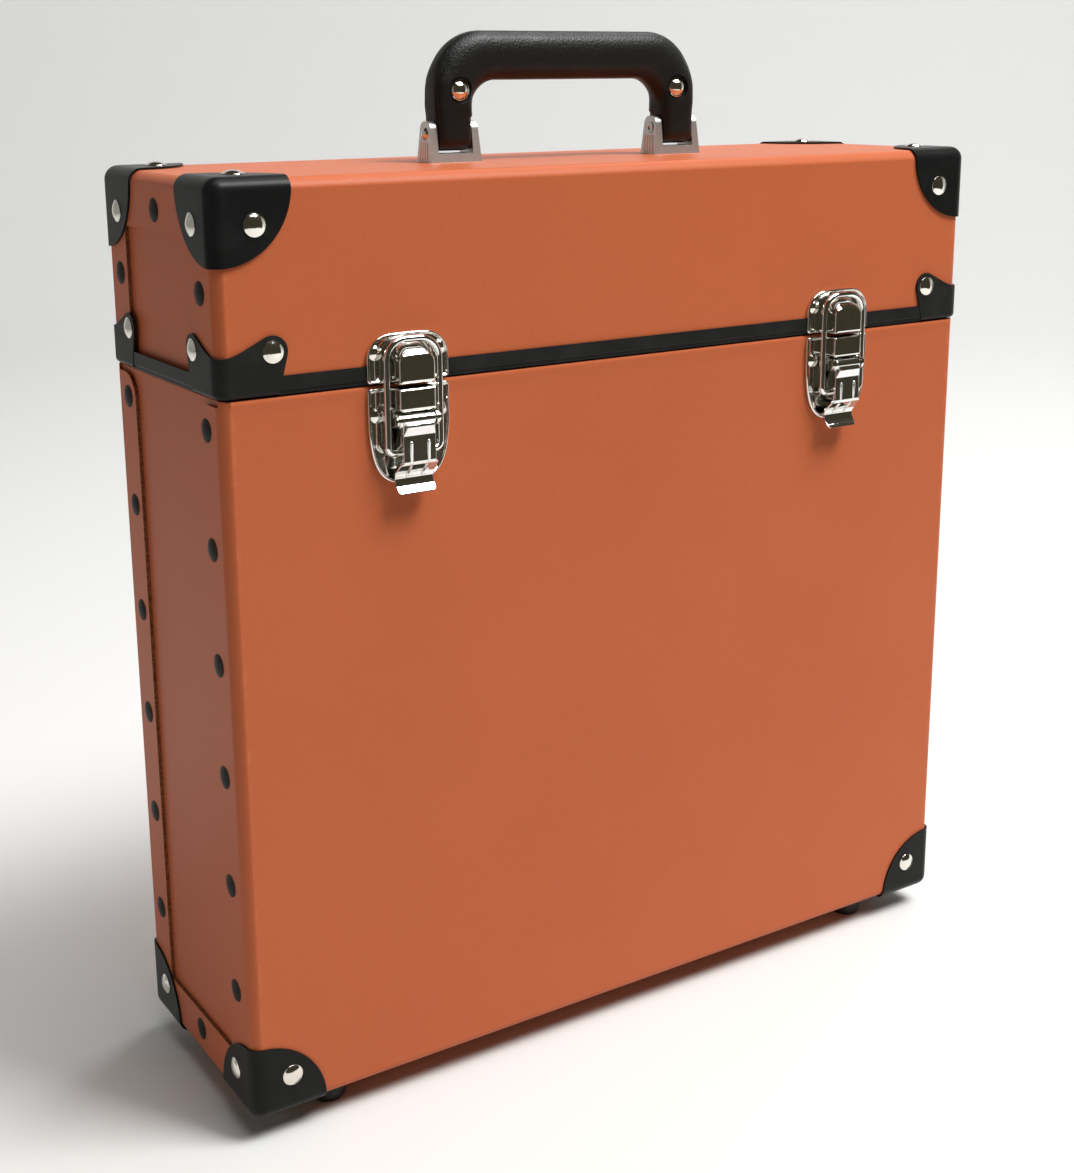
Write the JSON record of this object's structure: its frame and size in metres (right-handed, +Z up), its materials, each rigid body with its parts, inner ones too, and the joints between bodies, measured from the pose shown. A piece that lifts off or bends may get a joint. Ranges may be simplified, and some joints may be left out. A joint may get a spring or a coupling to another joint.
{
  "type": "record carrying case",
  "caption": "Tall upright box for carrying records, with a hinged lid, a folding top handle, draw latches, riveted metal corners and rubber feet.",
  "frame": {"origin": "centre of the whole case's box in X and Y, on the plane its feet stand on", "axes": "+Z up towards the handle, +X along the case's width to the right seen from the latches, +Y from the latches towards the back hinges"},
  "size_m": [0.3608, 0.1214, 0.4148],
  "materials": {
    "board": "hard fibreboard, painted burnt orange, matt",
    "lining_paper": "black lining paper over board",
    "black_steel": "pressed steel, black satin lacquer",
    "black_rivet": "black lacquered steel",
    "nickel_rivet": "bright nickel plate",
    "nickel_plate": "satin nickel plate",
    "plain_steel": "plain rolled steel",
    "rubber": "black moulded rubber",
    "handle_skin": "black pebbled covering"
  },
  "bodies": {
    "case": {"body_wrap": "board", "body_left_panel": "board", "body_right_panel": "board", "body_lining": "lining_paper", "body_corner_front_left": "black_steel", "body_corner_front_right": "black_steel", "body_corner_back_left": "black_steel", "body_corner_back_right": "black_steel", "body_corner_rivets": "nickel_rivet", "body_flap_rivets": "black_rivet", "foot_front_left": "rubber", "foot_front_right": "rubber", "foot_back_left": "rubber", "foot_back_right": "rubber", "foot_screws": "nickel_plate", "latch_base_left": "nickel_plate", "latch_base_right": "nickel_plate", "lever_pins": "nickel_plate", "latch_base_rivets": "nickel_plate", "hinge_leaf_body_left": "nickel_plate", "hinge_leaf_body_right": "nickel_plate", "hinge_pins": "nickel_plate", "hinge_body_rivets": "nickel_plate"},
    "lid": {"lid_wrap": "board", "lid_left_panel": "board", "lid_right_panel": "board", "lid_lining": "lining_paper", "lid_corner_front_left": "black_steel", "lid_corner_front_right": "black_steel", "lid_corner_back_left": "black_steel", "lid_corner_back_right": "black_steel", "lid_corner_rivets": "nickel_rivet", "lid_flap_rivets": "black_rivet", "rim_strip_front": "black_steel", "rim_strip_back": "black_steel", "rim_strip_left": "black_steel", "rim_strip_right": "black_steel", "rim_corner_front_left": "black_steel", "rim_corner_front_right": "black_steel", "rim_corner_back_left": "black_steel", "rim_corner_back_right": "black_steel", "rim_corner_rivets": "nickel_rivet", "latch_catch_left": "nickel_plate", "latch_catch_right": "nickel_plate", "catch_rivets": "nickel_plate", "hinge_leaf_lid_left": "nickel_plate", "hinge_leaf_lid_right": "nickel_plate", "hinge_lid_rivets": "nickel_plate", "handle_bracket_left": "nickel_plate", "handle_bracket_right": "nickel_plate", "handle_backing_strap": "plain_steel", "bracket_rivets": "nickel_plate", "handle_pins": "nickel_plate"},
    "handle": {"handle_grip": "handle_skin", "handle_core": "plain_steel", "handle_rivets": "nickel_rivet"},
    "left_lever": {"latch_lever_left": "nickel_plate"},
    "right_lever": {"latch_lever_right": "nickel_plate"},
    "left_bail": {"latch_bail_left": "nickel_plate"},
    "right_bail": {"latch_bail_right": "nickel_plate"}
  },
  "joints": [
    {"name": "lid_open", "type": "hinge", "parent": "case", "child": "lid", "pos_m": [0, 0.0579, 0.2891], "axis": [-1, 0, 0], "range_deg": [0, 100]},
    {"name": "handle_swing", "type": "hinge", "parent": "lid", "child": "handle", "pos_m": [0, 0.0022, 0.3755], "axis": [1, 0, 0], "range_deg": [-90, 90]},
    {"name": "left_lever_lift", "type": "hinge", "parent": "case", "child": "left_lever", "pos_m": [-0.1045, -0.0575, 0.2765], "axis": [-1, 0, 0], "range_deg": [0, 95]},
    {"name": "left_bail_swing", "type": "hinge", "parent": "left_lever", "child": "left_bail", "pos_m": [-0.1045, -0.0551, 0.2644], "axis": [1, 0, 0], "range_deg": [0, 295]},
    {"name": "right_lever_lift", "type": "hinge", "parent": "case", "child": "right_lever", "pos_m": [0.1045, -0.0575, 0.2765], "axis": [-1, 0, 0], "range_deg": [0, 95]},
    {"name": "right_bail_swing", "type": "hinge", "parent": "right_lever", "child": "right_bail", "pos_m": [0.1045, -0.0551, 0.2644], "axis": [1, 0, 0], "range_deg": [0, 295]}
  ],
  "couplings": [
    {"joint": "left_lever_lift", "follows": "lid_open", "ratio": 0.95},
    {"joint": "left_bail_swing", "follows": "lid_open", "ratio": 2.95},
    {"joint": "right_lever_lift", "follows": "lid_open", "ratio": 0.95},
    {"joint": "right_bail_swing", "follows": "lid_open", "ratio": 2.95}
  ]
}
